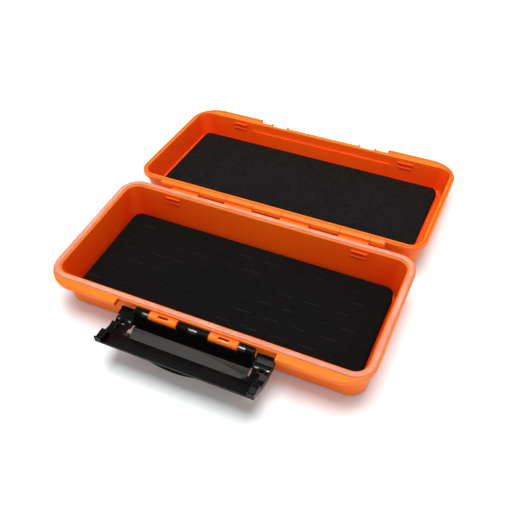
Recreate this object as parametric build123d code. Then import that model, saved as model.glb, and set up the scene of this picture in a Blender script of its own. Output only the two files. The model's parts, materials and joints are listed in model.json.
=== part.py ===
from build123d import *
import math
import os

os.makedirs("parts", exist_ok=True)

# Lure box, standing open. Millimetres, +Z up, length along X, latch towards -Y.
# The origin is the middle of the base's underside.

# Rim of the base, measured at the sealing ring
ring_half_length = 100.0
ring_half_width = 46.25
ring_width = 3.0
ring_corner = 10.4
ring_height = 2.0
ring_round = 0.7
ring_side_clearance = 0.03
ring_groove_depth = 1.2
base_height = 28.5
rim_inner_margin = 2.6
rim_outer_margin = 2.6
flange_thickness = 3.2
shoulder_reach = 4.2
shoulder_corner = 19.0
bay_clearance = 1.4
rim_edge_round = 0.6
rim_inner_round = 0.9

# Body of the base
wall_thickness = 3.0
floor_thickness = 2.0
base_side_slope = 10.0
base_end_slope = 6.0
base_edge_round = 3.0
floor_round = 1.8

# Lid
lid_height = 19.5
lid_seal_clearance = 0.05
lid_rim_width = 3.4
lid_flange_thickness = 3.0
lid_wall = 1.6
lid_top = 2.0
lid_side_slope = 10.0
lid_end_slope = 9.0
lid_edge_round = 3.0
lid_shoulder_reach = 4.6
rim_line_side = 1.1
rim_line_front = 2.2
rim_line_width = 0.6
rim_line_depth = 0.6
catch_thickness = 1.9
lid_step_drop = 6.0
lid_step_depth = 1.0
lid_step_margin = 1.5
lid_step_ramp = 5.0
fin_positions = (28.5, 41.0)
fin_width = 1.0
fin_reach = 2.2
fin_height = 6.0
notch_depth = 1.3

# Rear hinge
hinge_offset_y = 4.0
hinge_drop = 0.98
hinge_barrel_radius = 2.6
hinge_flat_angles = (105.0, 165.0)
hinge_flat_half = 30.0
hinge_pin_radius = 1.2
hinge_pin_recess = 0.4
bore_clearance = 0.05
knuckle_pitch = 19.8
knuckle_pairs = 4
end_knuckle_length = 9.5
knuckle_gap = 0.3
lid_open_angle = 184.77

# Foam pads
base_foam_end_clearance = 0.7
base_foam_side_clearance = 0.27
base_foam_thickness = 8.5
lid_foam_end_clearance = 2.1
lid_foam_side_clearance = 0.85
lid_foam_thickness = 4.9
slit_rows = 6
slit_row_pitch = 10.5
slit_length = 10.0
slit_pitch = 18.0
slit_count = 10
slit_width = 0.5
slit_depth = 5.0

# Short ribs inside the walls
nub_position = 65.5
nub_length = 10.5
nub_sizes = (0.8, 0.55)
nub_drops = (3.2, 6.6)

# Latch pivot on the base
pivot_setback = 2.3
pivot_drop = 3.25
pivot_pin_radius = 1.0
orange_knuckle_radius = 2.2
orange_knuckle_inner = 10.3
orange_knuckle_outer = 28.0
black_knuckle_radius = 2.0
latch_knuckle_gap = 0.45
window_back = 0.95
orange_window_half = 3.3
black_window_half = 2.9
side_window_length = 4.2

# Latch link
link_length = 8.615
link_rest_angle = 24.3
link_close_angle = 5.0
link_bar_thickness = 2.0
link_bar_clearance = 0.5
foot_start = 0.8
foot_reach = 5.2
foot_half = 1.6
ear_depth = 7.0
ear_rise = 4.1
ear_nose = 1.6
ear_shoulder = 3.0
ear_front = 0.4
ear_drop = 1.8
ear_back = 3.3
lug_length = 3.0
lug_radius = 2.2
ear_clearance = 0.6

# Latch lever
lever_half = 49.1
lever_knuckle_radius = 2.2
lever_pin_radius = 0.9
lever_end_recess = 0.2
outer_knuckle_length = 2.9
inner_knuckle_length = 3.45
lever_knuckle_gap = 0.4
window_wall = 0.45
window_rise = 0.2
arm_setback = 0.55
slot_width = 2.4
rail_start = 11.25
rail_end = 22.2
rail_crease = 17.4
rail_rise = 2.1
crease_rise = 4.3
edge_rise = 6.1
edge_thickness = 1.4
rail_thickness = 2.4
panel_wall = 1.3
panel_depth = 3.7
panel_near = 2.6
panel_foot = 5.9
tongue_clearance = 0.36
skirt_drop = 1.4
slot_end = 7.6
scoop_depth = 3.6
scoop_shift = -8.0
flange_width = 4.1
flange_start = 4.6
flange_rise = 3.2
hook_start = 14.0
hook_rise = 7.4
hook_tip = 16.5
lip_rise = 8.8
lip_thickness = 1.0
groove_setback = 0.8
groove_width = 1.0
groove_depth = 0.95
groove_count = 6
groove_pitch = 10.2
groove_start = 12.4
groove_end = 17.4
tab_half = 16.3
tab_drop = 3.6
tab_thickness = 1.6
tab_lip = 0.75
tab_hollow = 0.9
lever_close_angle = 90.0

# Derived places
outer_knuckle_start = lever_half - lever_end_recess - outer_knuckle_length
lug_outer = outer_knuckle_start - lever_knuckle_gap
lug_inner = lug_outer - lug_length
inner_knuckle_start = lug_inner - lever_knuckle_gap
inner_knuckle_end = inner_knuckle_start - inner_knuckle_length
slot_outer = inner_knuckle_end + arm_setback
panel_half = slot_outer - slot_width
flange_inner = lever_half - flange_width
groove_x = flange_inner - groove_setback
ear_outer = lever_half
ear_inner = inner_knuckle_end - arm_setback
link_bar_half = ear_inner + lever_end_recess
side_knuckle_outer = ear_inner - latch_knuckle_gap
side_knuckle_inner = orange_knuckle_outer + latch_knuckle_gap
centre_knuckle_half = orange_knuckle_inner - latch_knuckle_gap
bay_half_length = lever_half + bay_clearance
lid_step_half_length = bay_half_length + lid_step_margin
rim_z = base_height
ring_top = rim_z + ring_height - ring_groove_depth
rim_in_x = ring_half_length - rim_inner_margin
rim_in_y = ring_half_width - rim_inner_margin
rim_out_x = ring_half_length + rim_outer_margin
rim_out_y = ring_half_width + rim_outer_margin
flange_z = rim_z - flange_thickness
lid_z = ring_top + lid_seal_clearance
lid_out_x = rim_out_x - 0.5
lid_out_y = rim_out_y
hinge_y = rim_out_y + hinge_offset_y
hinge_z = lid_z - hinge_drop
pivot_y = -(rim_out_y + pivot_setback)
pivot_z = rim_z - pivot_drop
link_lean = math.radians(link_rest_angle)
lever_y = pivot_y - link_length * math.sin(link_lean)
lever_z = pivot_z - link_length * math.cos(link_lean)


def slope(angle):
    # sideways run of a drafted wall per millimetre of height
    return math.tan(math.radians(angle))


def plate(half_x, back, front, back_corner, front_corner, low, thickness):
    # a flat plate with its own corner radius at the back and at the front
    outline = Polyline((-half_x, front), (half_x, front), (half_x, back), (-half_x, back), close=True)
    face = make_face(outline)
    ends = face.vertices().sort_by(Axis.Y)
    face = fillet(ends[0:2], front_corner)
    ends = face.vertices().sort_by(Axis.Y)
    face = fillet(ends[-2:], back_corner)
    return extrude(Pos(0, 0, low) * face, thickness)


def tapered(low, low_x, low_y, low_corner, high, high_x, high_y, high_corner):
    # a block with drafted walls between two rounded rectangles
    bottom = Pos(0, 0, low) * RectangleRounded(2 * low_x, 2 * low_y, low_corner)
    top = Pos(0, 0, high) * RectangleRounded(2 * high_x, 2 * high_y, high_corner)
    return loft([bottom, top])


def prism(points, start, end):
    # a side profile of (y, z) points run along X from start to end
    face = make_face(Polyline(*[(start, y, z) for y, z in points], close=True))
    return extrude(face, amount=end - start, dir=(1, 0, 0))


def rod(y, z, radius, start, end):
    # a round bar along X
    return Pos((start + end) / 2, y, z) * Rot(0, 90, 0) * Cylinder(radius, end - start)


def block(x0, x1, y0, y1, z0, z1):
    middle = Pos((x0 + x1) / 2, (y0 + y1) / 2, (z0 + z1) / 2)
    return middle * Box(x1 - x0, y1 - y0, z1 - z0)


def mirrored(shape):
    # the piece and its copy on the other side of the middle
    return shape + mirror(shape, Plane.YZ)


def knuckle_spans(on_lid):
    # start and end of each hinge knuckle along X, the lid's or the base's
    reach = knuckle_pitch * (knuckle_pairs - 0.5)
    edges = [-reach + knuckle_pitch * i for i in range(2 * knuckle_pairs)]
    edges = [edges[0] - end_knuckle_length] + edges + [edges[-1] + end_knuckle_length]
    spans = [(a + knuckle_gap / 2, b - knuckle_gap / 2) for a, b in zip(edges, edges[1:])]
    return spans[0::2] if on_lid else spans[1::2]


def hinge_flat(angle, start, end):
    # what one flat face takes off a hinge knuckle, with the face looking along the angle
    near = hinge_barrel_radius * math.cos(math.radians(hinge_flat_half))
    across = hinge_barrel_radius
    out = (math.cos(math.radians(angle)), math.sin(math.radians(angle)))
    points = []
    for reach, side in ((near, -across), (near + across, -across), (near + across, across), (near, across)):
        points.append((hinge_y + out[0] * reach - out[1] * side, hinge_z + out[1] * reach + out[0] * side))
    return prism(points, start, end)


def hinge_knuckle(start, end, web_low, web_high, turn):
    # a barrel on its web, with two flats that meet in a crease; turn is how far the lid swings it
    barrel = rod(hinge_y, hinge_z, hinge_barrel_radius, start, end)
    for angle in hinge_flat_angles:
        barrel -= hinge_flat(angle + turn, start, end)
    return barrel + block(start, end, rim_out_y - 1.0, hinge_y, web_low, web_high)


def hinge_bore():
    reach = knuckle_pitch * knuckle_pairs + end_knuckle_length
    return rod(hinge_y, hinge_z, hinge_pin_radius + bore_clearance, -reach, reach)


def round_reach(radius, lean):
    # how far a rounded floor edge reaches in from a drafted wall
    return radius * math.tan(math.radians(90 - lean) / 2)


def base_floor_half():
    # half length and half width of the base's floor between its walls
    depth = rim_z - floor_thickness
    return rim_in_x - depth * slope(base_end_slope), rim_in_y - depth * slope(base_side_slope)


def base_cavity():
    low_x, low_y = base_floor_half()
    over = 1.0
    top_x = rim_in_x + over * slope(base_end_slope)
    top_y = rim_in_y + over * slope(base_side_slope)
    corner = ring_corner - rim_inner_margin
    space = tapered(floor_thickness, low_x, low_y, corner, rim_z + over, top_x, top_y, corner)
    return fillet(space.edges().group_by(Axis.Z)[0], floor_round)


def base_body():
    drop = rim_z - flange_z
    top_x = rim_in_x - drop * slope(base_end_slope) + wall_thickness
    top_y = rim_in_y - drop * slope(base_side_slope) + wall_thickness
    low_x = top_x - flange_z * slope(base_end_slope)
    low_y = top_y - flange_z * slope(base_side_slope)
    corner = ring_corner - rim_inner_margin + wall_thickness
    body = tapered(0, low_x, low_y, corner, flange_z, top_x, top_y, corner)
    return fillet(body.edges().group_by(Axis.Z)[0], base_edge_round)


def rim_flange(half_x, back, reach, low, thickness, bay_front):
    # the rim with its two front shoulders, which leave a bay for the latch
    back_corner = ring_corner + rim_outer_margin
    rim = plate(half_x, back, -back - reach, back_corner, shoulder_corner, low, thickness)
    layers = rim.edges().group_by(Axis.Z)
    rim = fillet(layers[0] + layers[-1], rim_edge_round)
    bay = block(-bay_half_length, bay_half_length, -back - 2 * reach, bay_front, low - 1, low + thickness + 1)
    return rim - bay


def ring_band(width, low, height):
    side = width / 2
    outer = RectangleRounded(2 * (ring_half_length + side), 2 * (ring_half_width + side), ring_corner + side)
    inner = RectangleRounded(2 * (ring_half_length - side), 2 * (ring_half_width - side), ring_corner - side)
    return extrude(Pos(0, 0, low) * (outer - inner), height)


def orange_knuckle():
    # a flat-topped knuckle that stands out of the bay's face, with a window to the pin
    top = pivot_z + orange_knuckle_radius
    low = pivot_z - orange_knuckle_radius
    start, end = orange_knuckle_inner, orange_knuckle_outer
    body = rod(pivot_y, pivot_z, orange_knuckle_radius, start, end)
    body += block(start, end, pivot_y, -rim_out_y + 0.4, low, top)
    middle = (start + end) / 2
    window = block(middle - orange_window_half, middle + orange_window_half,
                   pivot_y - pivot_pin_radius, pivot_y + window_back, pivot_z, top + 1)
    return body - window


def nubs(inner_y, z_of_rim, direction, lean, facing):
    # short level ribs on the inside of a long wall
    ribs = None
    for drop, size in zip(nub_drops, nub_sizes):
        y = facing * (inner_y - drop * slope(lean))
        z = z_of_rim + direction * drop
        for side in (-1, 1):
            rib = Pos(side * nub_position, y, z) * Box(nub_length, 2 * size, size)
            ribs = rib if ribs is None else ribs + rib
    return ribs


def inner_rim_edges(shell):
    # the loop where the cavity's walls meet the top of the rim
    loop = shell.edges().group_by(Axis.Z)[-1]
    reach_x, reach_y = rim_in_x + rim_inner_round / 2, rim_in_y + rim_inner_round / 2
    return [edge for edge in loop if abs(edge.center().X) < reach_x and abs(edge.center().Y) < reach_y]


def make_base_shell():
    flange = rim_flange(rim_out_x, rim_out_y, shoulder_reach, flange_z, flange_thickness, -rim_out_y)
    shell = base_body() + flange
    shell -= base_cavity()
    shell = fillet(inner_rim_edges(shell), rim_inner_round)
    groove_width_full = ring_width + 2 * ring_side_clearance
    shell -= ring_band(groove_width_full, rim_z - ring_groove_depth, ring_groove_depth + 1)
    for start, end in knuckle_spans(False):
        shell += hinge_knuckle(start, end, hinge_z - hinge_barrel_radius, rim_z, 0)
    shell -= hinge_bore()
    shell += mirrored(orange_knuckle())
    shell -= rod(pivot_y, pivot_z, pivot_pin_radius + bore_clearance, -side_knuckle_outer, side_knuckle_outer)
    shell += nubs(rim_in_y, rim_z, -1, base_side_slope, 1)
    return shell


def make_ring():
    ring = ring_band(ring_width, rim_z - ring_groove_depth, ring_height)
    return fillet(ring.edges().group_by(Axis.Z)[-1], ring_round)


def lid_floor_half():
    # half length and half width of the lid's inner face between its walls
    depth = lid_height - lid_top
    half_x = lid_out_x - lid_rim_width - depth * slope(lid_end_slope)
    half_y = lid_out_y - lid_rim_width - depth * slope(lid_side_slope)
    return half_x, half_y


def lid_cavity():
    depth = lid_height - lid_top
    low_x = lid_out_x - lid_rim_width + slope(lid_end_slope)
    low_y = lid_out_y - lid_rim_width + slope(lid_side_slope)
    high_x, high_y = lid_floor_half()
    corner = ring_corner - rim_inner_margin
    space = tapered(lid_z - 1, low_x, low_y, corner, lid_z + depth, high_x, high_y, corner)
    return fillet(space.edges().group_by(Axis.Z)[-1], floor_round)


def lid_body():
    top = lid_z + lid_height
    base_x = lid_out_x - lid_rim_width + lid_wall
    base_y = lid_out_y - lid_rim_width + lid_wall
    high_x = base_x - lid_height * slope(lid_end_slope)
    high_y = base_y - lid_height * slope(lid_side_slope)
    corner = ring_corner - rim_inner_margin + lid_wall
    body = tapered(lid_z, base_x, base_y, corner, top, high_x, high_y, corner)
    return fillet(body.edges().group_by(Axis.Z)[-1], lid_edge_round)


def lid_step_pad():
    # the inside of the stepped wall, a field whose two ends run out into the wall
    start = -(lid_out_y - lid_rim_width + 0.2) + lid_step_drop * slope(lid_side_slope)
    half = lid_step_half_length
    depth = lid_step_depth + 0.2
    outline = Polyline((-half - lid_step_ramp, 0), (half + lid_step_ramp, 0), (half, depth), (-half, depth),
                       close=True)
    field = extrude(make_face(outline), lid_height - lid_top + 0.5 - lid_step_drop)
    return Pos(0, start, lid_z + lid_step_drop) * Rot(-lid_side_slope, 0, 0) * field


def lid_wall_profile(offset, drop_start, drop_end, thickness):
    # a strip along the front wall's slope: offset is measured from the inner face at the rim
    face = -(lid_out_y - lid_rim_width) - offset
    run = slope(lid_side_slope)
    near = (face + drop_start * run, lid_z + drop_start)
    far = (face + drop_end * run, lid_z + drop_end)
    return [near, far, (far[0] + thickness, far[1]), (near[0] + thickness, near[1])]


def lid_bay(shell):
    # the front wall steps in above the catch, and the rim between two fins is cut back
    shell += lid_step_pad()
    pocket = prism(lid_wall_profile(lid_wall + 1.0, lid_step_drop, lid_height + 1, lid_step_depth + 1.0),
                   -bay_half_length, bay_half_length)
    shell -= pocket
    thin = block(-bay_half_length, bay_half_length, -lid_out_y - 1, -lid_out_y + 1.6,
                 lid_z + catch_thickness, lid_z + lid_flange_thickness + 1)
    shell -= thin
    first, last = fin_positions
    notch = block(first + fin_width / 2, last - fin_width / 2, -lid_out_y - 1, -lid_out_y + notch_depth,
                  lid_z - 1, lid_z + lid_flange_thickness + 1)
    shell -= mirrored(notch)
    for place in fin_positions:
        wall = -(lid_out_y - lid_rim_width + lid_wall) + 0.8
        points = [(wall, lid_z), (-lid_out_y - fin_reach, lid_z), (-lid_out_y - fin_reach, lid_z + 1.5),
                  (wall, lid_z + fin_height - 0.5)]
        shell += mirrored(prism(points, place - fin_width / 2, place + fin_width / 2))
    return shell


def rim_loop(inset, low, thickness):
    # the lid rim's outline, moved in from its edge by the inset
    front = -lid_out_y - lid_shoulder_reach + rim_line_front - rim_line_side
    corner = ring_corner + rim_outer_margin - inset
    shoulder = shoulder_corner - inset
    return plate(lid_out_x - inset, lid_out_y - inset, front + inset, corner, shoulder, low, thickness)


def lid_rim_line():
    # the narrow groove around the mating face, between its edge and the land that meets the seal
    outside = rim_loop(rim_line_side, lid_z - 1, 1 + rim_line_depth)
    return outside - rim_loop(rim_line_side + rim_line_width, lid_z - 2, 3 + rim_line_depth)


def make_closed_lid():
    shell = lid_body() + rim_flange(lid_out_x, lid_out_y, lid_shoulder_reach, lid_z, lid_flange_thickness,
                                    -lid_out_y)
    shell -= lid_rim_line()
    shell -= lid_cavity()
    shell = lid_bay(shell)
    for start, end in knuckle_spans(True):
        shell += hinge_knuckle(start, end, lid_z, hinge_z + hinge_barrel_radius, lid_open_angle)
    shell -= hinge_bore()
    shell += nubs(lid_out_y - lid_rim_width, lid_z, 1, lid_side_slope, -1)
    return shell


def opened(shape):
    # swings a closed lid piece back about the hinge to the open rest pose
    return shape.rotate(Axis((0, hinge_y, hinge_z), (1, 0, 0)), -lid_open_angle)


def slit_pattern(top):
    cuts = None
    first_row = -(slit_rows - 1) / 2 * slit_row_pitch
    for row in range(slit_rows):
        y = first_row + row * slit_row_pitch
        shift = (slit_pitch / 4) * (1 if row % 2 else -1)
        for column in range(slit_count):
            x = (column - (slit_count - 1) / 2) * slit_pitch + shift
            cut = Pos(x, y, top) * Box(slit_length, slit_width, 2 * slit_depth)
            cuts = cut if cuts is None else cuts + cut
    return cuts


def make_base_foam():
    floor_x, floor_y = base_floor_half()
    side_gap = round_reach(floor_round, base_side_slope) + base_foam_side_clearance
    half_x = floor_x - round_reach(floor_round, base_end_slope) - base_foam_end_clearance
    corner = ring_corner - rim_inner_margin - side_gap
    outline = RectangleRounded(2 * half_x, 2 * (floor_y - side_gap), corner)
    pad = extrude(Pos(0, 0, floor_thickness) * outline, base_foam_thickness)
    return pad - slit_pattern(floor_thickness + base_foam_thickness)


def make_lid_foam():
    top = lid_z + lid_height - lid_top
    floor_x, floor_y = lid_floor_half()
    side_gap = lid_step_depth + round_reach(floor_round, lid_side_slope) + lid_foam_side_clearance
    half_x = floor_x - round_reach(floor_round, lid_end_slope) - lid_foam_end_clearance
    corner = ring_corner - rim_inner_margin - side_gap
    outline = RectangleRounded(2 * half_x, 2 * (floor_y - side_gap), corner)
    return opened(extrude(Pos(0, 0, top - lid_foam_thickness) * outline, lid_foam_thickness))


def make_hinge_pin():
    reach = knuckle_pitch * (knuckle_pairs - 0.5) + end_knuckle_length - hinge_pin_recess
    return rod(hinge_y, hinge_z, hinge_pin_radius, -reach, reach)


def make_pivot_pin():
    reach = side_knuckle_outer - 0.3
    return rod(pivot_y, pivot_z, pivot_pin_radius, -reach, reach)


def black_knuckle(start, end):
    # a knuckle of the link with a square heel that stops against the bay's face
    heel = -rim_out_y - 0.1
    top = pivot_z + black_knuckle_radius
    body = rod(pivot_y, pivot_z, black_knuckle_radius, start, end)
    body += block(start, end, pivot_y, heel, pivot_z - 0.6, top - 0.3)
    foot = along_link(foot_start, foot_reach, foot_half, link_bar_thickness / 2)
    return body + prism(foot, start, end)


def along_link(near, far, near_half, far_half):
    # a strip along the line from the base pivot to the lever pivot
    down = (-math.sin(link_lean), -math.cos(link_lean))
    side = (-down[1], down[0])
    points = []
    for reach, half in ((near, near_half), (far, far_half), (far, -far_half), (near, -near_half)):
        y = pivot_y + down[0] * reach + side[0] * half
        z = pivot_z + down[1] * reach + side[1] * half
        points.append((y, z))
    return points


def make_link():
    half = link_bar_thickness / 2
    bar_start = orange_knuckle_radius + link_bar_clearance
    link = prism(along_link(bar_start, link_length, half, half), -link_bar_half, link_bar_half)
    link += rod(lever_y, lever_z, half, -link_bar_half, link_bar_half)
    link += black_knuckle(-centre_knuckle_half, centre_knuckle_half)
    link += mirrored(black_knuckle(side_knuckle_inner, side_knuckle_outer))
    ear = [(lever_y + ear_depth, lever_z + ear_rise), (lever_y + ear_nose, lever_z + ear_shoulder),
           (lever_y - ear_front, lever_z + lug_radius / 2), (lever_y - ear_front, lever_z - lug_radius * 0.6),
           (lever_y + lug_radius, lever_z - ear_drop), (lever_y + ear_depth, lever_z + ear_rise - ear_back)]
    ears = prism(ear, ear_inner, ear_outer)
    swing = lever_knuckle_radius + ear_clearance
    ears -= rod(lever_y, lever_z, swing, ear_inner, lug_inner)
    ears -= rod(lever_y, lever_z, swing, lug_outer, ear_outer)
    ears += rod(lever_y, lever_z, lug_radius, lug_inner, lug_outer)
    link += mirrored(ears)
    centre = block(-black_window_half, black_window_half, pivot_y - 3, pivot_y + 0.6,
                   pivot_z + 0.2, pivot_z + 3)
    link -= centre
    side = block(side_knuckle_inner - 1, side_knuckle_inner + side_window_length, pivot_y - 3, pivot_y + 0.6,
                 pivot_z + 0.2, pivot_z + 3)
    link -= mirrored(side)
    link -= rod(pivot_y, pivot_z, pivot_pin_radius + bore_clearance, -side_knuckle_outer, side_knuckle_outer)
    bore = rod(lever_y, lever_z, lever_pin_radius + bore_clearance, lug_inner - 1, lug_outer + 1)
    link -= mirrored(bore)
    return link


def lever_prism(points, start, end):
    # a lever profile: each point is how far out from the pivot, and how far up
    return prism([(lever_y - out, lever_z + up) for out, up in points], start, end)


def lever_rail():
    points = [(rail_start, rail_rise), (rail_crease, crease_rise), (rail_end, edge_rise),
              (rail_end, edge_rise - edge_thickness), (rail_crease - 1.0, crease_rise - rail_thickness + 0.3),
              (rail_start - 0.3, rail_rise - rail_thickness - 0.3)]
    return lever_prism(points, -lever_half, lever_half)


def lever_arm():
    # the end of the lever from its knuckles to the rail
    points = [(3.2, 0.6), (rail_start + 0.2, rail_rise), (rail_start + 0.2, rail_rise - rail_thickness - 0.2),
              (3.2, -1.6)]
    arm = lever_prism(points, slot_outer, lever_half)
    hub = [(0, lever_knuckle_radius - 0.2), (3.4, 0.6), (3.4, -1.6), (0, -lever_knuckle_radius)]
    for start, end in ((inner_knuckle_end, inner_knuckle_start), (outer_knuckle_start, lever_half - 0.2)):
        arm += rod(lever_y, lever_z, lever_knuckle_radius, start, end)
        arm += lever_prism(hub, start, end)
        window_reach = 2 * lever_knuckle_radius
        arm -= block(start + window_wall, end - window_wall, lever_y - window_reach, lever_y + 0.6,
                     lever_z + window_rise, lever_z + window_reach)
    return arm


def lever_flange():
    points = [(flange_start, 0.3), (flange_start, flange_rise), (hook_start - 5.7, flange_rise - 0.5),
              (hook_start, crease_rise - 0.4), (hook_start, hook_rise - 0.3), (hook_tip, hook_rise),
              (rail_end - 2.1, hook_rise - 0.2), (rail_end - lip_thickness, lip_rise), (rail_end, lip_rise),
              (rail_end, edge_rise - edge_thickness), (rail_crease, crease_rise - 1.0), (rail_start, 1.0)]
    return lever_prism(points, flange_inner, lever_half)


def scoop_radius():
    # the dish runs out at the end of the panel that is farther from its middle
    half = panel_half + abs(scoop_shift)
    return (half ** 2 + scoop_depth ** 2) / (2 * scoop_depth)


def scoop_rise(x):
    # how far the dish lifts the panel's floor at this place along the lever
    radius = scoop_radius()
    return scoop_depth - radius + math.sqrt(radius ** 2 - (x - scoop_shift) ** 2)


def scoop(extra):
    # the shallow dish along the lever's outer face
    radius = scoop_radius()
    crown = lever_z - panel_depth - panel_wall + scoop_depth + extra
    turned = Rot(90, 0, 0) * Cylinder(radius, 4 * rail_end)
    return Pos(scoop_shift, lever_y - rail_start, crown - radius) * turned


def lever_panel():
    # the sunk middle: a sloping wall by the pivot and a floor that rises to the centre
    foot = panel_foot
    under = -panel_depth - panel_wall
    outer = [(panel_near - 1.0, -0.8), (foot - 1.0, -panel_depth - 0.8), (foot - 0.6, under),
             (rail_start - 0.8, under), (rail_start + 1.6, rail_rise - rail_thickness),
             (rail_start + 1.6, rail_rise), (rail_start, rail_rise), (panel_near, 0.0)]
    body = lever_prism(outer, -panel_half, panel_half)
    body -= scoop(0)
    pocket = [(panel_near, 0.0), (foot, -panel_depth), (rail_start - 0.6, -panel_depth),
              (rail_start, rail_rise), (rail_start, rail_rise + 2), (panel_near, rail_rise + 2)]
    hollow = lever_prism(pocket, -panel_half - 1, panel_half + 1)
    hollow -= scoop(panel_wall)
    return body - hollow + lever_tongue() + lever_end(1) + lever_end(-1)


def lever_tongue():
    # the panel's near edge curls in under the link's bar and clears it all round
    swing = link_bar_thickness / 2 + tongue_clearance
    top = -0.55 * swing
    under = -swing - panel_wall
    points = [(0, top), (0.84 * swing, top), (panel_near, -0.15), (panel_near, under), (0, under)]
    tongue = lever_prism(points, -panel_half, panel_half)
    return tongue - rod(lever_y, lever_z, swing, -lever_half, lever_half)


def lever_end(side):
    # a skirt under the end of the panel, and the web that closes the slot towards the rail
    under = -panel_depth - panel_wall
    top = under + scoop_rise(side * panel_half) + 0.4
    skirt = [(panel_foot - 0.6, top), (rail_start - 0.8, top),
             (rail_start - 1.4, under - skirt_drop), (panel_foot, under - skirt_drop)]
    end = lever_prism(skirt, panel_half - 1.0, panel_half)
    web = [(slot_end, 1.2), (rail_start + 0.2, rail_rise), (rail_start + 0.2, rail_rise - rail_thickness),
           (rail_start - 0.8, under), (slot_end, under)]
    end += lever_prism(web, panel_half - 0.8, slot_outer + 0.2)
    return end if side > 0 else mirror(end, Plane.YZ)


def lever_grooves():
    cuts = None
    for index in range(groove_count):
        x = (index - (groove_count - 1) / 2) * groove_pitch
        top = crease_rise + 1
        run = [(groove_start, rail_rise - 0.3), (groove_start, top), (groove_end, top),
               (groove_end, crease_rise - groove_depth)]
        cut = lever_prism(run, x - groove_width / 2, x + groove_width / 2)
        cuts = cut if cuts is None else cuts + cut
    return cuts


def tab_blade(inset, start, thickness):
    # a plate with a curved lower edge, smaller than the finger tab by the inset all round
    top = lever_z + edge_rise - 0.4 - inset
    half = tab_half - 3 * inset
    low = lever_z + edge_rise - 0.8 - tab_drop + inset
    arc = ThreePointArc((-half, start, top), (0, start, low), (half, start, top))
    chord = Line((half, start, top), (-half, start, top))
    return extrude(make_face([arc, chord]), amount=thickness, dir=(0, 1, 0))


def lever_tab():
    # the finger tab: a lip under the outer edge, hollowed so that a nail catches behind its rim
    face = lever_y - rail_end
    hollow = tab_blade(tab_lip, face - 1, 1 + tab_hollow)
    return tab_blade(0, face, tab_thickness) - hollow


def make_lever():
    lever = lever_rail() + lever_panel() + lever_tab()
    lever += mirrored(lever_arm())
    lever += mirrored(lever_flange())
    lever -= lever_grooves()
    long_groove = [(4.2, 0.2), (4.2, 6), (rail_crease - 1.2, 6), (rail_crease - 1.2, crease_rise - 1.2)]
    groove = lever_prism(long_groove, groove_x - groove_width / 2, groove_x + groove_width / 2)
    lever -= mirrored(groove)
    bore = rod(lever_y, lever_z, lever_pin_radius + bore_clearance, inner_knuckle_end - 1, lever_half + 1)
    lever -= mirrored(bore)
    return lever


def make_lever_pin(side):
    start = inner_knuckle_end + 0.2
    end = lever_half - 0.4
    pin = rod(lever_y, lever_z, lever_pin_radius, start, end)
    return pin if side > 0 else mirror(pin, Plane.YZ)


def main():
    nodes = {
        "base_shell": make_base_shell(),
        "sealing_ring": make_ring(),
        "base_foam": make_base_foam(),
        "lid_shell": opened(make_closed_lid()),
        "lid_foam": make_lid_foam(),
        "hinge_pin": make_hinge_pin(),
        "latch_pin": make_pivot_pin(),
        "latch_link": make_link(),
        "latch_lever": make_lever(),
        "lever_pin_left": make_lever_pin(-1),
        "lever_pin_right": make_lever_pin(1),
    }
    for name, shape in nodes.items():
        export_step(shape, "parts/" + name + ".step")
        print(name, round(shape.volume, 1))


main()
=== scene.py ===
"""The looks of a lure box that stands open, with two foam pads and a two-piece latch.

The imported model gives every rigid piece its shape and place. This script gives
those pieces their finishes, lays the two foam pads and sets up the studio.
Lengths are metres and angles are degrees, unless a name says otherwise.
"""

from __future__ import annotations

import json
import logging
import math
from collections.abc import Callable
from dataclasses import dataclass
from enum import Enum
from typing import Any

import bpy
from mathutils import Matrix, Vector

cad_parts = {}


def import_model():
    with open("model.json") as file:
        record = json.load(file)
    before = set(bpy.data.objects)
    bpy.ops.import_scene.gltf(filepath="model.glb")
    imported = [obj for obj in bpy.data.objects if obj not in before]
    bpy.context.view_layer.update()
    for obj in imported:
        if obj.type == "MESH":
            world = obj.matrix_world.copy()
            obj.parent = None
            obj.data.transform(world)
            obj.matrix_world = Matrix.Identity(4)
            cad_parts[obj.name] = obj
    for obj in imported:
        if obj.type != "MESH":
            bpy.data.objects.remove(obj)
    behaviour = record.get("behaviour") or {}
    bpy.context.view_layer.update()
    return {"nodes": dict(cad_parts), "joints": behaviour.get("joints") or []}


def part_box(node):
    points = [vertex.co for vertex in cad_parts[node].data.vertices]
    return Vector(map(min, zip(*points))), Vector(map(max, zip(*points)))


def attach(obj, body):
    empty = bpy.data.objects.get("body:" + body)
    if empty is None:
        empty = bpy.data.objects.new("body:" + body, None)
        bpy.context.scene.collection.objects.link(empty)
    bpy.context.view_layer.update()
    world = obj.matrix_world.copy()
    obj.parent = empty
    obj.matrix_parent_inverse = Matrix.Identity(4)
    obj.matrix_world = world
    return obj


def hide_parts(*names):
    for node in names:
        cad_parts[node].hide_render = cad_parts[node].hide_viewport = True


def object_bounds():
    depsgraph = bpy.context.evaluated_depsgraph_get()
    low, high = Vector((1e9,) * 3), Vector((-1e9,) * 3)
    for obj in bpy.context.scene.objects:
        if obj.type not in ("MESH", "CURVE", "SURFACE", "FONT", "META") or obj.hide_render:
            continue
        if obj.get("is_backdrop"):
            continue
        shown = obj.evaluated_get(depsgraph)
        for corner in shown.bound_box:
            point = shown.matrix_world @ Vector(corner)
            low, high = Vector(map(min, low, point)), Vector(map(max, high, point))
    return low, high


LOG = logging.getLogger("lure_box")
MM = 0.001
HALF_TURN = 180
NOISE_MIDDLE = 0.5
Colour = tuple[float, float, float, float]
Triple = tuple[float, float, float]
Band = tuple[float, float]


class Slot(Enum):
    """The record's material slots."""

    SHELL = "orange_shell"
    SEAL = "seal"
    FOAM = "foam"
    STEEL = "pin_steel"
    LATCH = "black_plastic"


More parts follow.
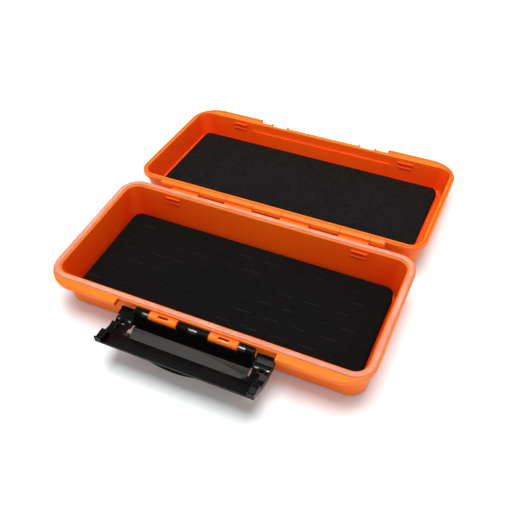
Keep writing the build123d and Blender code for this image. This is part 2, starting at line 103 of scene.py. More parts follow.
class Body(Enum):
    """The bodies that the new pieces ride on."""

    BASE = "base"
    LID = "lid"


def colour(red: float, green: float, blue: float) -> Colour:
    """Turn display values from 0 to 255 into a linear colour.

    Args:
        red: The red display value.
        green: The green display value.
        blue: The blue display value.

    Returns:
        The linear colour with full alpha.
    """

    def linear(value: float) -> float:
        """Undo the display curve of one channel."""
        part = value / 255
        return part / 12.92 if part <= 0.04045 else ((part + 0.055) / 1.055) ** 2.4

    return (linear(red), linear(green), linear(blue), 1.0)


class Value:
    """A number socket of a shader graph that takes part in arithmetic."""

    def __init__(self, graph: Graph, socket: bpy.types.NodeSocket) -> None:
        """Keep the graph and the socket."""
        self.graph = graph
        self.socket = socket

    def math(self, operation: str, *terms: Value | float) -> Value:
        """Add a Math node.

        Args:
            operation: The node's operation.
            terms: The node's inputs in order.

        Returns:
            The node's result.
        """
        made = self.graph.node("ShaderNodeMath", {"operation": operation}, dict(enumerate(terms)))
        return Value(self.graph, made.outputs[0])

    def __add__(self, other: Value | float) -> Value:
        """Add."""
        return self.math("ADD", self, other)

    __radd__ = __add__

    def __mul__(self, other: Value | float) -> Value:
        """Multiply."""
        return self.math("MULTIPLY", self, other)

    __rmul__ = __mul__

    def __sub__(self, other: Value | float) -> Value:
        """Subtract."""
        return self.math("SUBTRACT", self, other)

    def __rsub__(self, other: Value | float) -> Value:
        """Subtract this from a number."""
        return self.math("SUBTRACT", other, self)

    def step(self, low: float, high: float) -> Value:
        """Rise smoothly from 0 at low to 1 at high.

        Args:
            low: Where the step begins.
            high: Where the step ends.

        Returns:
            The step's value.
        """
        settings = {"interpolation_type": "SMOOTHSTEP"}
        made = self.graph.node(
            "ShaderNodeMapRange", settings, {"Value": self, "From Min": low, "From Max": high}
        )
        return Value(self.graph, made.outputs[0])


class Graph:
    """The node tree of a material or a world, built node by node."""

    def __init__(self, owner: bpy.types.Material | bpy.types.World) -> None:
        """Empty the owner's node tree.

        Args:
            owner: The material or world that the nodes belong to.
        """
        self.owner = owner
        self.owner.use_nodes = True
        self.tree = self.owner.node_tree
        self.tree.nodes.clear()

    def node(
        self, kind: str, settings: dict[str, Any] | None = None, inputs: dict[Any, Any] | None = None
    ) -> bpy.types.Node:
        """Add a node, with its settings before its sockets.

        Args:
            kind: The node's type.
            settings: The node's own settings.
            inputs: A number, a colour or a link for each socket, by name or number.

        Returns:
            The node.
        """
        made = self.tree.nodes.new(kind)
        for key, setting in (settings or {}).items():
            setattr(made, key, setting)
        for key, given in (inputs or {}).items():
            source = given.socket if isinstance(given, Value) else given
            if isinstance(source, bpy.types.NodeSocket):
                self.tree.links.new(source, made.inputs[key])
            else:
                made.inputs[key].default_value = source
        return made

    def place(self, scale: Triple = (1.0, 1.0, 1.0)) -> bpy.types.NodeSocket:
        """Read the piece's own coordinates.

        Args:
            scale: How much each axis is stretched.

        Returns:
            The coordinates in metres, times the scale.
        """
        found = self.node("ShaderNodeTexCoord").outputs["Object"]
        return self.node("ShaderNodeMapping", {}, {"Vector": found, "Scale": scale}).outputs[0]

    def noise(
        self, place: bpy.types.NodeSocket, size: float, detail: float, rough: float = 0.55
    ) -> Value:
        """Add a cloudy pattern.

        Args:
            place: The coordinates that it reads.
            size: The size of its clouds, in metres.
            detail: How many finer layers it has.
            rough: How strong the finer layers are.

        Returns:
            The pattern, around 0.5.
        """
        made = self.node(
            "ShaderNodeTexNoise",
            {},
            {"Vector": place, "Scale": 1 / size, "Detail": detail, "Roughness": rough},
        )
        return Value(self, made.outputs[0])

    def cells(self, place: bpy.types.NodeSocket, size: float, feature: str) -> Value:
        """Add a cell pattern.

        Args:
            place: The coordinates that it reads.
            size: The size of a cell, in metres.
            feature: What it measures in a cell.

        Returns:
            The distance within the cells.
        """
        made = self.node(
            "ShaderNodeTexVoronoi", {"feature": feature}, {"Vector": place, "Scale": 1 / size}
        )
        return Value(self, made.outputs["Distance"])

    def mix(self, factor: Value | float, first: Any, second: Any) -> bpy.types.NodeSocket:
        """Blend two colours.

        Args:
            factor: 0 gives the first colour and 1 the second.
            first: A colour or a colour socket.
            second: A colour or a colour socket.

        Returns:
            The blended colour.
        """
        made = self.node(
            "ShaderNodeMix", {"data_type": "RGBA"}, {"Factor": factor, 6: first, 7: second}
        )
        return made.outputs[2]

    def soft_edges(self, radius: float) -> tuple[bpy.types.NodeSocket, Value]:
        """Round the look of sharp edges.

        Args:
            radius: The radius of the rounding, in metres.

        Returns:
            The rounded normal, and a mask that is 1 along the edges.
        """
        rounded = self.node("ShaderNodeBevel", {"samples": 6}, {"Radius": radius}).outputs[0]
        flat = self.node("ShaderNodeNewGeometry").outputs["Normal"]
        meeting = self.node("ShaderNodeVectorMath", {"operation": "DOT_PRODUCT"}, {0: rounded, 1: flat})
        return rounded, 1.0 - Value(self, meeting.outputs["Value"])

    def inside(self, low: Triple, high: Triple) -> Value:
        """Mark a region of the piece.

        Args:
            low: The region's lowest corner.
            high: The region's highest corner.

        Returns:
            1 inside the region and 0 outside, with soft borders.
        """
        axes = self.node("ShaderNodeSeparateXYZ", {}, {0: self.place()}).outputs
        mask: Value | float = 1.0
        for axis, least, most in zip(axes, low, high):
            along = Value(self, axis)
            mask = mask * along.step(least, least + MM) * (1.0 - along.step(most - MM, most))
        return mask

    def hollows(self, reach: float) -> Value:
        """Find how far the piece closes in around each of its points, as the mask for painted shade in
        hollows.

        Args:
            reach: How far it looks, in metres.

        Returns:
            0 on open faces, and nearer to 1 the deeper the piece closes in.
        """
        settings = {"samples": 6, "only_local": True}
        made = self.node("ShaderNodeAmbientOcclusion", settings, {"Distance": reach})
        return 1.0 - Value(self, made.outputs["AO"])

    def bump(
        self, height: Value, depth: float, strength: float, normal: Any = None
    ) -> bpy.types.NodeSocket:
        """Add relief.

        Args:
            height: The height of the relief from 0 to 1.
            depth: How deep a height of 1 is, in metres.
            strength: How strongly it shows.
            normal: The normal that it starts from, if it isn't the surface's own.

        Returns:
            The normal with its relief.
        """
        inputs: dict[str, Any] = {"Height": height, "Distance": depth, "Strength": strength}
        if normal is not None:
            inputs["Normal"] = normal
        return self.node("ShaderNodeBump", {}, inputs).outputs[0]

    def finish(self, inputs: dict[str, Any]) -> bpy.types.Material:
        """Close the graph with the surface shader.

        Args:
            inputs: The surface shader's inputs.

        Returns:
            The finished material.
        """
        surface = self.node("ShaderNodeBsdfPrincipled", {}, inputs)
        self.node("ShaderNodeOutputMaterial", {}, {"Surface": surface.outputs[0]})
        return self.owner


@dataclass(frozen=True)
class MouldedPlastic:
    """Injection-moulded plastic: cloudy colour, fine grain, flow marks and soft edges.

    Hollows get painted shade and edges a painted highlight. One region may be painted lighter, as a
    painted reflection, and have a coat.
    """

    name: str
    tone: Colour
    deep_tone: Colour
    edge_highlight_tone: Colour
    hollow_shade_tone: Colour
    edge_highlight_amount: float
    roughness: float
    roughness_spread: float
    shine: float
    grain_size: float
    grain_depth: float
    edge_radius: float
    glow: float = 0.0
    scatter_radius: Triple = (1.0, 0.2, 0.05)
    scatter_scale: float = 3.0 * MM
    polished: tuple[Triple, Triple] | None = None
    polished_reflection_tone: Colour = (0.0, 0.0, 0.0, 1.0)
    polished_coat: float = 0.0
    coat_roughness: float = 0.1
    cloud_size: float = 0.035
    cloud_share: float = 0.7
    cloud_band: Band = (0.3, 0.7)
    flow_stretch: float = 0.25
    grain_share: float = 0.75
    grain_roughness: float = 0.05
    grain_strength: float = 0.6
    highlight_least: float = 0.6
    highlight_spread: float = 0.8
    hollow_shade_reach: float = 0.08
    hollow_shade_band: Band = (0.05, 0.5)

    def material(self) -> bpy.types.Material:
        """Build the material.

        Returns:
            The finished material.
        """
        graph = Graph(bpy.data.materials.new(self.name))
        place = graph.place()
        normal, edge = graph.soft_edges(self.edge_radius)
        cloud = graph.noise(place, self.cloud_size, 4.0)
        flow = graph.noise(graph.place((self.flow_stretch, 1.0, 1.0)), self.cloud_size / 4, 3.0)
        grain = graph.noise(place, self.grain_size, 2.0, 0.6)
        blend = cloud * self.cloud_share + flow * (1 - self.cloud_share)
        tone = graph.mix(blend.step(*self.cloud_band), self.deep_tone, self.tone)
        polish = graph.inside(*self.polished) if self.polished else 0.0
        # painted reflection: the polished region is painted a lighter grey
        tone = graph.mix(polish, tone, self.polished_reflection_tone)
        # painted highlight: edges are lightened towards the edge tone, unevenly with the cloud pattern
        edge_highlight = edge * self.edge_highlight_amount * (self.highlight_least + cloud * self.highlight_spread)
        tone = graph.mix(edge_highlight.step(0.0, 1.0), tone, self.edge_highlight_tone)
        # painted shade: hollows are darkened towards the hollow tone, except in the polished region
        hollow_shade = graph.hollows(self.hollow_shade_reach).step(*self.hollow_shade_band) * (1.0 - polish)
        tone = graph.mix(hollow_shade, tone, self.hollow_shade_tone)
        rough = self.roughness + (flow - NOISE_MIDDLE) * self.roughness_spread
        rough = rough + (grain - NOISE_MIDDLE) * self.grain_roughness
        height = grain * self.grain_share + flow * (1 - self.grain_share)
        return graph.finish(
            {
                "Base Color": tone,
                "Roughness": rough,
                "Specular IOR Level": self.shine,
                "Coat Weight": polish * self.polished_coat,
                "Coat Roughness": self.coat_roughness,
                "Subsurface Weight": self.glow,
                "Subsurface Radius": self.scatter_radius,
                "Subsurface Scale": self.scatter_scale,
                "Normal": graph.bump(height, self.grain_depth, self.grain_strength, normal),
            }
        )


@dataclass(frozen=True)
class Silicone:
    """The soft seal: milky, tinted by what it sits on, with a faint dusting."""

    name: str
    tone: Colour
    tint: Colour
    roughness: float
    edge_radius: float = 1.2 * MM
    cloud_size: float = 0.02
    cloud_share: float = 0.8
    cloud_band: Band = (0.35, 0.68)
    dust_size: float = 0.9 * MM
    dust_roughness: float = 0.2
    dust_depth: float = 0.12 * MM
    dust_strength: float = 0.5
    shine: float = 0.3
    coat: float = 0.1
    coat_roughness: float = 0.3
    glow: float = 0.85
    scatter_radius: Triple = (1.0, 0.6, 0.45)
    scatter_scale: float = 3.0 * MM

    def material(self) -> bpy.types.Material:
        """Build the material.

        Returns:
            The finished material.
        """
        graph = Graph(bpy.data.materials.new(self.name))
        place = graph.place()
        cloud = graph.noise(place, self.cloud_size, 3.0)
        dust = graph.noise(place, self.dust_size, 2.0)
        normal, _ = graph.soft_edges(self.edge_radius)
        blend = cloud * self.cloud_share + dust * (1 - self.cloud_share)
        height = dust * 0.5 + cloud * 0.5
        return graph.finish(
            {
                "Base Color": graph.mix(blend.step(*self.cloud_band), self.tint, self.tone),
                "Roughness": self.roughness + (dust - NOISE_MIDDLE) * self.dust_roughness,
                "Specular IOR Level": self.shine,
                "Coat Weight": self.coat,
                "Coat Roughness": self.coat_roughness,
                "Subsurface Weight": self.glow,
                "Subsurface Radius": self.scatter_radius,
                "Subsurface Scale": self.scatter_scale,
                "Normal": graph.bump(height, self.dust_depth, self.dust_strength, normal),
            }
        )


@dataclass(frozen=True)
class CellFoam:
    """Cut foam sheet: tiny cells, coarser pores, crumb dents and a dry, dark face; pores and dents get
    painted shade.

    The lips of cuts and edges get a painted highlight, stronger in some places than in others.
    """

    name: str
    tone: Colour
    cell_tone: Colour
    pit_shade_tone: Colour
    lip_highlight_tone: Colour
    cell_size: float
    pore_size: float
    relief: float
    relief_strength: float = 0.8
    cell_band: Band = (0.02, 0.22)
    cell_height: float = 0.5
    pore_band: Band = (0.25, 0.6)
    pore_share: float = 0.5
    pore_height: float = 0.25
    patch_size: float = 0.018
    patch_band: Band = (0.35, 0.75)
    patch_share: float = 0.35
    speck_scale: float = 1.6
    speck_band: Band = (0.35, 0.7)
    speck_height: float = 0.1
    speck_roughness: float = 0.15
    crumb_size: float = 3.5 * MM
    crumb_band: Band = (0.5, 0.68)
    crumb_shade_share: float = 0.75
    crumb_depth: float = 0.4
    lip_width: float = 0.6 * MM
    lip_gain: float = 2.5
    lip_band: Band = (0.05, 0.6)
    lip_patch_size: float = 0.022
    lip_patch_band: Band = (0.42, 0.62)
    roughness: float = 0.9
    shine: float = 0.12

    def material(self) -> bpy.types.Material:
        """Build the material.

        Returns:
            The finished material.
        """
        graph = Graph(bpy.data.materials.new(self.name))
        place = graph.place()
        cells = graph.cells(place, self.cell_size, "DISTANCE_TO_EDGE").step(*self.cell_band)
        pores = graph.cells(place, self.pore_size, "F1").step(*self.pore_band)
        patch = graph.noise(place, self.patch_size, 4.0, 0.6).step(*self.patch_band)
        speck = graph.noise(place, self.cell_size * self.speck_scale, 2.0, 0.7)
        crumb = graph.noise(place, self.crumb_size, 3.0, 0.65).step(*self.crumb_band)
        _, edge = graph.soft_edges(self.lip_width)
        lip_patch = graph.noise(place, self.lip_patch_size, 3.0).step(*self.lip_patch_band)
        # painted highlight on the lips of cuts and edges
        lip_highlight = (edge * self.lip_gain).step(*self.lip_band) * lip_patch
        tone = graph.mix(speck.step(*self.speck_band), self.cell_tone, self.tone)
        # painted shade: the pores and crumb dents, which the bump lowers, are painted darker
        tone = graph.mix((1.0 - pores) * self.pore_share, tone, self.pit_shade_tone)
        tone = graph.mix(patch * self.patch_share, tone, self.tone)
        tone = graph.mix(crumb * self.crumb_shade_share, tone, self.pit_shade_tone)
        tone = graph.mix(lip_highlight, tone, self.lip_highlight_tone)
        height = cells * self.cell_height + pores * self.pore_height
        height = height + speck * self.speck_height - crumb * self.crumb_depth
        return graph.finish(
            {
                "Base Color": tone,
                "Roughness": self.roughness + (speck - NOISE_MIDDLE) * self.speck_roughness,
                "Specular IOR Level": self.shine,
                "Normal": graph.bump(height, self.relief, self.relief_strength),
            }
        )


@dataclass(frozen=True)
class DrawnSteel:
    """A drawn steel pin: lines along its length and a few dull patches."""

    name: str
    tone: Colour
    dull_tone: Colour
    roughness: float
    line_size: float = 0.25 * MM
    line_stretch: float = 0.02
    line_roughness: float = 0.15
    line_depth: float = 0.04 * MM
    line_strength: float = 0.6
    patch_size: float = 6.0 * MM
    patch_band: Band = (0.4, 0.75)
    patch_roughness: float = 0.2

    def material(self) -> bpy.types.Material:
        """Build the material.

        Returns:
            The finished material.
        """
        graph = Graph(bpy.data.materials.new(self.name))
        lines = graph.noise(graph.place((self.line_stretch, 1.0, 1.0)), self.line_size, 2.0)
        patch = graph.noise(graph.place(), self.patch_size, 3.0)
        rough = self.roughness + (patch - NOISE_MIDDLE) * self.patch_roughness
        return graph.finish(
            {
                "Base Color": graph.mix(patch.step(*self.patch_band), self.tone, self.dull_tone),
                "Metallic": 1.0,
                "Roughness": rough + (lines - NOISE_MIDDLE) * self.line_roughness,
                "Normal": graph.bump(lines, self.line_depth, self.line_strength),
            }
        )


ORANGE = MouldedPlastic(
    name="orange_moulded",
    tone=colour(250, 117, 14),
    deep_tone=colour(248, 110, 10),
    # painted highlight for the edges
    edge_highlight_tone=colour(255, 150, 50),
    # painted shade for the hollows, deeper and redder
    hollow_shade_tone=colour(238, 62, 2),
    edge_highlight_amount=1.2,
    roughness=0.42,
    roughness_spread=0.12,
    shine=0.22,
    glow=0.3,
    grain_size=0.6 * MM,
    grain_depth=0.03 * MM,
    edge_radius=0.5 * MM,
)
BLACK = MouldedPlastic(
    name="black_moulded",
    tone=colour(9, 9, 9),
    deep_tone=colour(6, 6, 6),
    # painted highlight for the edges, glints on the black latch
    edge_highlight_tone=colour(96, 95, 94),
    # painted shade for the hollows
    hollow_shade_tone=colour(3, 3, 3),
    edge_highlight_amount=2.2,
    roughness=0.22,
    roughness_spread=0.12,
    shine=0.08,
    # the dished panel of the latch lever, at rest; painted a lighter grey as a painted reflection, and
    # given a coat
    polished=((-0.0388, -0.0662, 0.008), (0.0388, -0.0562, 0.0196)),
    polished_reflection_tone=colour(56, 55, 54),
    polished_coat=0.3,
    grain_size=0.4 * MM,
    grain_depth=0.03 * MM,
    edge_radius=0.4 * MM,
)
SEAL = Silicone(
    name="seal_silicone",
    tone=colour(212, 150, 132),
    tint=colour(202, 126, 100),
    roughness=0.55,
)
LID_FOAM = CellFoam(
    name="foam_lid",
    tone=colour(25, 24, 24),
    cell_tone=colour(14, 13, 13),
    pit_shade_tone=colour(4, 4, 4),
    lip_highlight_tone=colour(30, 29, 29),
    cell_size=0.7 * MM,
    pore_size=2.1 * MM,
    relief=0.4 * MM,
)
# the same foam as the lid pad's, painted darker as painted shade for the deeper tray, with a stronger
# painted highlight on its cut lips
BASE_FOAM_SHADED = CellFoam(
    name="foam_base_painted_shade",
    tone=colour(10, 9, 9),
    cell_tone=colour(5, 5, 5),
    pit_shade_tone=colour(2, 2, 2),
    lip_highlight_tone=colour(54, 53, 52),
    cell_size=0.7 * MM,
    pore_size=2.1 * MM,
    relief=0.3 * MM,
)
STEEL = DrawnSteel(
    name="steel_pin",
    tone=colour(150, 148, 145),
    dull_tone=colour(112, 109, 105),
    roughness=0.36,
)


class Palette:
    """Every finish of the box, each made once."""

    def __init__(self) -> None:
        """Build the materials."""
        self.by_slot = {
            Slot.SHELL: ORANGE.material(),
            Slot.SEAL: SEAL.material(),
            Slot.FOAM: LID_FOAM.material(),
            Slot.STEEL: STEEL.material(),
            Slot.LATCH: BLACK.material(),
        }
        # the painted-shade copy of the foam, for the slit base pad
        self.shaded_slit_foam = BASE_FOAM_SHADED.material()

    def dress(self, piece: bpy.types.Object, slot: Slot, own: bpy.types.Material | None = None) -> None:
        """Give a piece its finish.

        Args:
            piece: The piece.
            slot: The record's slot that the finish belongs to.
            own: A variant of the slot's finish, if the piece has its own.
        """
        piece.data.materials.clear()
        piece.data.materials.append(own or self.by_slot[slot])
        LOG.info("%s is dressed in %s", piece.name, slot.value)


def deselect_all() -> None:
    """Leave object mode's selection empty."""
    if bpy.context.object is not None and bpy.context.object.mode != "OBJECT":
        bpy.ops.object.mode_set(mode="OBJECT")
    bpy.ops.object.select_all(action="DESELECT")


def make_active(piece: bpy.types.Object) -> None:
    """Select one piece alone and make it active.

    Args:
        piece: The piece.
    """
    deselect_all()
    piece.select_set(True)
    bpy.context.view_layer.objects.active = piece


def select_edges(piece: bpy.types.Object, wanted: Callable[[Vector, Vector], bool]) -> None:
    """Enter edit mode with the wanted edges selected.

    Args:
        piece: The active piece.
        wanted: Says from its two ends whether an edge is selected.
    """
    mesh = piece.data
    bpy.ops.object.mode_set(mode="EDIT")
    bpy.ops.mesh.select_mode(type="EDGE")
    bpy.ops.mesh.select_all(action="DESELECT")
    bpy.ops.object.mode_set(mode="OBJECT")
    for edge in mesh.edges:
        start, end = (mesh.vertices[i].co for i in edge.vertices)
        edge.select = wanted(start, end)
    bpy.ops.object.mode_set(mode="EDIT")


def apply_modifier(piece: bpy.types.Object, kind: str, settings: dict[str, Any]) -> None:
    """Add a modifier to the active piece and apply it.

    Args:
        piece: The active piece.
        kind: The modifier's type.
        settings: The modifier's settings.
    """
    modifier = piece.modifiers.new(kind.lower(), kind)
    for key, setting in settings.items():
        setattr(modifier, key, setting)
    bpy.ops.object.modifier_apply(modifier=modifier.name)


@dataclass
class SlitPattern:
    """Rows of short staggered slits, cut down into a pad's face."""

    rows: int = 6
    count: int = 10
    row_pitch: float = 10.5 * MM
    pitch: float = 18.0 * MM
    length: float = 10.0 * MM
    width: float = 0.35 * MM
    foot_width: float = 0.2 * MM
    foot_share: float = 0.96
    depth: float = 5.0 * MM

    def row_cutter(self, row: int, face: float) -> bpy.types.Object:
        """Make the wedges that cut one row.

        Args:
            row: The row's number, from the front.
            face: The height of the pad's face.

        Returns:
            The wedges as one piece.
        """
        deselect_all()
        shift = self.pitch / 4 * (1 if row % 2 else -1)
        start = -(self.count - 1) / 2 * self.pitch + shift
        y = (row - (self.rows - 1) / 2) * self.row_pitch
        bpy.ops.mesh.primitive_cube_add(size=1, location=(start, y, face))
        cutter = bpy.context.object
        cutter.scale = (self.length, self.width, 2 * self.depth)
        bpy.ops.object.transform_apply()
        low = face - self.depth / 2
        select_edges(cutter, lambda a, b: a.z < low and b.z < low)
        bpy.ops.transform.resize(value=(self.foot_share, self.foot_width / self.width, 1.0))
        bpy.ops.object.mode_set(mode="OBJECT")
        offset = {
            "count": self.count,
            "use_relative_offset": False,
            "use_constant_offset": True,
            "constant_offset_displace": (self.pitch, 0.0, 0.0),
        }
        apply_modifier(cutter, "ARRAY", offset)
        return cutter

    def cut(self, pad: bpy.types.Object, face: float) -> None:
        """Cut every row into a pad.

        Args:
            pad: The pad, flat and centred.
            face: The height of its face.
        """
        for row in range(self.rows):
            cutter = self.row_cutter(row, face)
            make_active(pad)
            settings = {"operation": "DIFFERENCE", "solver": "MANIFOLD", "object": cutter}
            apply_modifier(pad, "BOOLEAN", settings)
            bpy.data.objects.remove(cutter, do_unlink=True)


@dataclass
class FoamPad:
    """A cut foam sheet with softened edges, a slight crown and an uneven face."""

    name: str
    node: str
    body: Body
    lean: float = 0.0
    corner: float = 5.5 * MM
    corner_segments: int = 10
    edge_round: float = 0.9 * MM
    edge_segments: int = 4
    edge_margin: float = MM / 100
    voxel: float = 1.0 * MM
    crown: float = 0.35 * MM
    end_power: int = 6
    side_power: int = 4
    unevenness: float = 0.3 * MM
    wave_size: float = 14.0 * MM
    wave_level: float = 0.9
    smooth_angle: float = 40.0
    slits: SlitPattern | None = None

    def flat_size(self) -> tuple[float, float, float]:
        """Measure the pad's solid before it was tilted with its shell.

        Returns:
            Its length, width and thickness.
        """
        low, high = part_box(self.node)
        span = high - low
        turn = math.radians(self.lean)
        cosine, sine = math.cos(turn), math.sin(turn)
        spread = cosine * cosine - sine * sine
        width = (span.y * cosine - span.z * sine) / spread
        thickness = (span.z * cosine - span.y * sine) / spread
        return span.x, width, thickness

    def sheet(self, length: float, width: float, thickness: float) -> bpy.types.Object:
        """Make the plain sheet, flat and centred.

        Args:
            length: Its length along X.
            width: Its width along Y.
            thickness: Its thickness along Z.

        Returns:
            The sheet with its corners and edges rounded.
        """
        deselect_all()
        bpy.ops.mesh.primitive_cube_add(size=1)
        pad = bpy.context.object
        pad.name = self.name
        pad.scale = (length, width, thickness - self.crown)
        pad.location = (0.0, 0.0, -self.crown / 2)
        bpy.ops.object.transform_apply()
        select_edges(pad, lambda a, b: abs(a.z - b.z) > thickness / 2)
        bpy.ops.mesh.bevel(offset=self.corner, segments=self.corner_segments, affect="EDGES")
        bpy.ops.object.mode_set(mode="OBJECT")
        face = thickness / 2 - self.crown - self.edge_margin
        select_edges(pad, lambda a, b: a.z > face and b.z > face)
        bpy.ops.mesh.bevel(offset=self.edge_round, segments=self.edge_segments, affect="EDGES")
        bpy.ops.object.mode_set(mode="OBJECT")
        apply_modifier(pad, "REMESH", {"mode": "VOXEL", "voxel_size": self.voxel})
        return pad

    def soften(self, pad: bpy.types.Object, length: float, width: float) -> None:
        """Raise the face to its crown and make it a little uneven.

        Args:
            pad: The active pad, flat and centred.
            length: Its length.
            width: Its width.
        """
        crown = pad.vertex_groups.new(name="crown")
        for vertex in pad.data.vertices:
            if vertex.co.z <= 0:
                continue
            along = 1 - (2 * abs(vertex.co.x) / length) ** self.end_power
            across = 1 - (2 * abs(vertex.co.y) / width) ** self.side_power
            crown.add([vertex.index], max(0.0, along) * max(0.0, across), "REPLACE")
        settings = {"direction": "Z", "strength": self.crown, "mid_level": 0.0, "vertex_group": "crown"}
        apply_modifier(pad, "DISPLACE", settings)
        clouds = bpy.data.textures.new(self.name + "_waves", "CLOUDS")
        clouds.noise_scale = self.wave_size
        settings = {
            "direction": "Z",
            "strength": self.unevenness,
            "mid_level": self.wave_level,
            "vertex_group": "crown",
            "texture": clouds,
        }
        apply_modifier(pad, "DISPLACE", settings)

    def build(self, palette: Palette) -> None:
        """Make the pad where its solid is.

        Args:
            palette: The finishes.
        """
        length, width, thickness = self.flat_size()
        pad = self.sheet(length, width, thickness)
        self.soften(pad, length, width)
        if self.slits is not None:
            self.slits.cut(pad, thickness / 2)
        make_active(pad)
        bpy.ops.object.shade_smooth_by_angle(angle=math.radians(self.smooth_angle))
        low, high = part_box(self.node)
        pad.rotation_euler = (-math.radians(self.lean), 0.0, 0.0)
        pad.location = (low + high) / 2
        bpy.ops.object.transform_apply()
        palette.dress(pad, Slot.FOAM, palette.shaded_slit_foam if self.slits else None)
        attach(pad, self.body.value)
        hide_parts(self.node)
        LOG.info("%s has %d faces", pad.name, len(pad.data.polygons))


@dataclass
class BaseTray:
    """The lower half: shell, seal, hinge pin and slit pad."""

    shell: str = "base_shell"
    seal: str = "sealing_ring"
    hinge_pin: str = "hinge_pin"

    def build(self, nodes: dict[str, bpy.types.Object], palette: Palette) -> None:
        """Dress the shell, seal and pin, and lay the pad.

        Args:
            nodes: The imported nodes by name.
            palette: The finishes.
        """
        palette.dress(nodes[self.shell], Slot.SHELL)
        palette.dress(nodes[self.seal], Slot.SEAL)
        palette.dress(nodes[self.hinge_pin], Slot.STEEL)
        FoamPad("base_pad", "base_foam", Body.BASE, slits=SlitPattern()).build(palette)


@dataclass
class Lid:
    """The upper half, which lies open behind the base: shell and plain pad."""

    open_angle: float
    shell: str = "lid_shell"

    def build(self, nodes: dict[str, bpy.types.Object], palette: Palette) -> None:
        """Dress the shell and lay the pad.

        Args:
            nodes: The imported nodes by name.
            palette: The finishes.
        """
        palette.dress(nodes[self.shell], Slot.SHELL)
        lean = self.open_angle - HALF_TURN
        FoamPad("lid_pad", "lid_foam", Body.LID, lean=lean, corner=5.0 * MM).build(palette)


@dataclass
class Latch:
    """The black link and lever on their steel pins."""

    plastic: tuple[str, ...] = ("latch_link", "latch_lever")
    pins: tuple[str, ...] = ("latch_pin", "lever_pin_left", "lever_pin_right")

    def build(self, nodes: dict[str, bpy.types.Object], palette: Palette) -> None:
        """Dress the moulded pieces and the pins.

        Args:
            nodes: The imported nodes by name.
            palette: The finishes.
        """
        for name in self.plastic:
            palette.dress(nodes[name], Slot.LATCH)
        for name in self.pins:
            palette.dress(nodes[name], Slot.STEEL)


@dataclass(frozen=True)
class Lamp:
    """A square soft light that points at the middle of the box."""

    name: str
    place: Triple
    size: float
    power: float

    def build(self, target: Vector) -> None:
        """Hang the lamp.

        Args:
            target: The point that it faces.
        """
        data = bpy.data.lights.new(self.name, "AREA")
        data.shape = "SQUARE"
        data.size = self.size
        data.energy = self.power
        lamp = bpy.data.objects.new(self.name, data)
        lamp.location = self.place
        lamp.rotation_euler = (target - Vector(self.place)).to_track_quat("-Z", "Y").to_euler()
        bpy.context.scene.collection.objects.link(lamp)


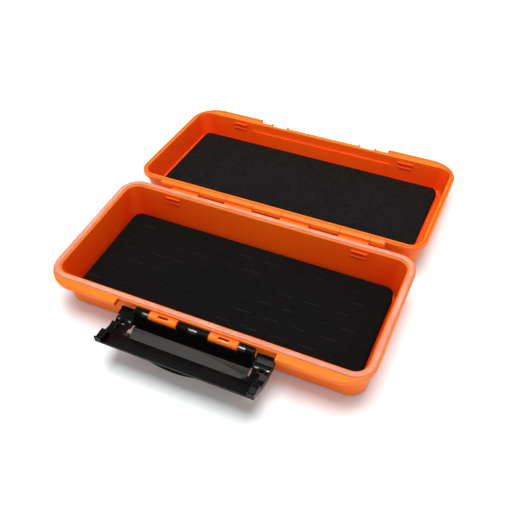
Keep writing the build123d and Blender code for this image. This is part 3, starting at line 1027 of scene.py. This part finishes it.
@dataclass
class Studio:
    """Pale floor, soft overhead light and the camera."""

    floor_size: float = 8.0
    floor_parts: int = 8
    floor_tone: float = 0.9
    floor_tint: Triple = (0.94, 1.0, 1.01)
    floor_roughness: float = 0.9
    speck_size: float = 0.4
    speck_gain: float = 0.02
    floor_lift: float = 0.07
    far_lift: float = 0.6
    fade: Band = (0.45, 1.8)
    lamps: tuple[Lamp, ...] = (Lamp("overhead", (0.0, 0.06, 1.5), 1.0, 28.0),)
    sky: float = 0.6
    horizon: float = 0.62
    sky_band: Band = (0.12, 0.6)
    backdrop: float = 1.3
    camera_place: Triple = (0.141077, -0.254026, 0.333840)
    camera_turn: Triple = (44.231, 2.414, 22.737)
    lens: float = 49.18
    sensor_width: float = 36.0
    clip_start: float = 0.01

    def floor_material(self) -> bpy.types.Material:
        """Make a floor that looks white and still shows the shadow.

        Returns:
            The floor's material.
        """
        graph = Graph(bpy.data.materials.new("studio_floor"))
        speck = graph.noise(graph.place(), self.speck_size, 2.0)
        plain = [self.floor_tone * part for part in self.floor_tint]
        light = [part + self.speck_gain for part in plain]
        tone = graph.mix(speck, (*plain, 1.0), (*light, 1.0))
        path = graph.node("ShaderNodeLightPath").outputs
        seen = Value(graph, path["Is Camera Ray"]) + Value(graph, path["Is Glossy Ray"])
        seen = seen + Value(graph, path["Is Transmission Ray"])
        reach = graph.node("ShaderNodeVectorMath", {"operation": "LENGTH"}, {0: graph.place()})
        lift = Value(graph, reach.outputs["Value"]).step(*self.fade) * self.far_lift + self.floor_lift
        return graph.finish(
            {
                "Base Color": tone,
                "Roughness": self.floor_roughness,
                "Specular IOR Level": 0.0,
                "Emission Color": (1.0, 1.0, 1.0, 1.0),
                "Emission Strength": seen.math("MINIMUM", seen, 1.0) * lift,
            }
        )

    def lay_floor(self) -> None:
        """Lay the floor."""
        deselect_all()
        parts = self.floor_parts
        bpy.ops.mesh.primitive_grid_add(x_subdivisions=parts, y_subdivisions=parts, size=self.floor_size)
        floor = bpy.context.object
        floor.name = "studio_floor"
        floor.data.materials.append(self.floor_material())
        floor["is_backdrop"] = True

    def light_world(self) -> None:
        """Make an even world light that the camera itself sees as white.

        The backdrop's strength lifts the background's own light grey past white.
        """
        graph = Graph(bpy.data.worlds.new("studio_world"))
        bpy.context.scene.world = graph.owner
        way = graph.node("ShaderNodeTexCoord").outputs["Generated"]
        rise = graph.node("ShaderNodeSeparateXYZ", {}, {0: way}).outputs["Z"]
        low, high = self.sky_band
        limits = {"From Min": low, "From Max": high, "To Min": self.horizon, "To Max": self.sky}
        smooth = {"interpolation_type": "SMOOTHSTEP"}
        level = graph.node("ShaderNodeMapRange", smooth, {"Value": rise, **limits}).outputs[0]
        seen = graph.node("ShaderNodeLightPath").outputs["Is Camera Ray"]
        choice = {"Factor": seen, "A": level, "B": self.backdrop}
        shown = graph.node("ShaderNodeMix", {}, choice).outputs[0]
        light = graph.node("ShaderNodeBackground", {}, {"Strength": shown})
        graph.node("ShaderNodeOutputWorld", {}, {"Surface": light.outputs[0]})

    def set_camera(self) -> None:
        """Put the camera at the viewing angle."""
        data = bpy.data.cameras.new("camera")
        data.lens = self.lens
        data.sensor_width = self.sensor_width
        data.clip_start = self.clip_start
        camera = bpy.data.objects.new("camera", data)
        camera.location = self.camera_place
        camera.rotation_mode = "YXZ"
        camera.rotation_euler = [math.radians(turn) for turn in self.camera_turn]
        bpy.context.scene.collection.objects.link(camera)
        bpy.context.scene.camera = camera

    def build(self) -> None:
        """Set up the floor, the lights, the world and the camera."""
        self.lay_floor()
        self.light_world()
        low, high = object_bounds()
        for lamp in self.lamps:
            lamp.build((Vector(low) + Vector(high)) / 2)
        self.set_camera()
        bpy.context.scene.view_settings.view_transform = "Standard"
        LOG.info("the studio has %d lamps", len(self.lamps))


def main() -> None:
    """Build the box's halves and latch, then the studio."""
    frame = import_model()
    nodes = frame["nodes"]
    hinge = next(joint for joint in frame["joints"] if joint["name"] == "lid_hinge")
    palette = Palette()
    BaseTray().build(nodes, palette)
    Lid(open_angle=max(hinge["range_deg"])).build(nodes, palette)
    Latch().build(nodes, palette)
    Studio().build()


if __name__ == "__main__":
    logging.basicConfig(level=logging.INFO, format="%(name)s: %(message)s")
    main()
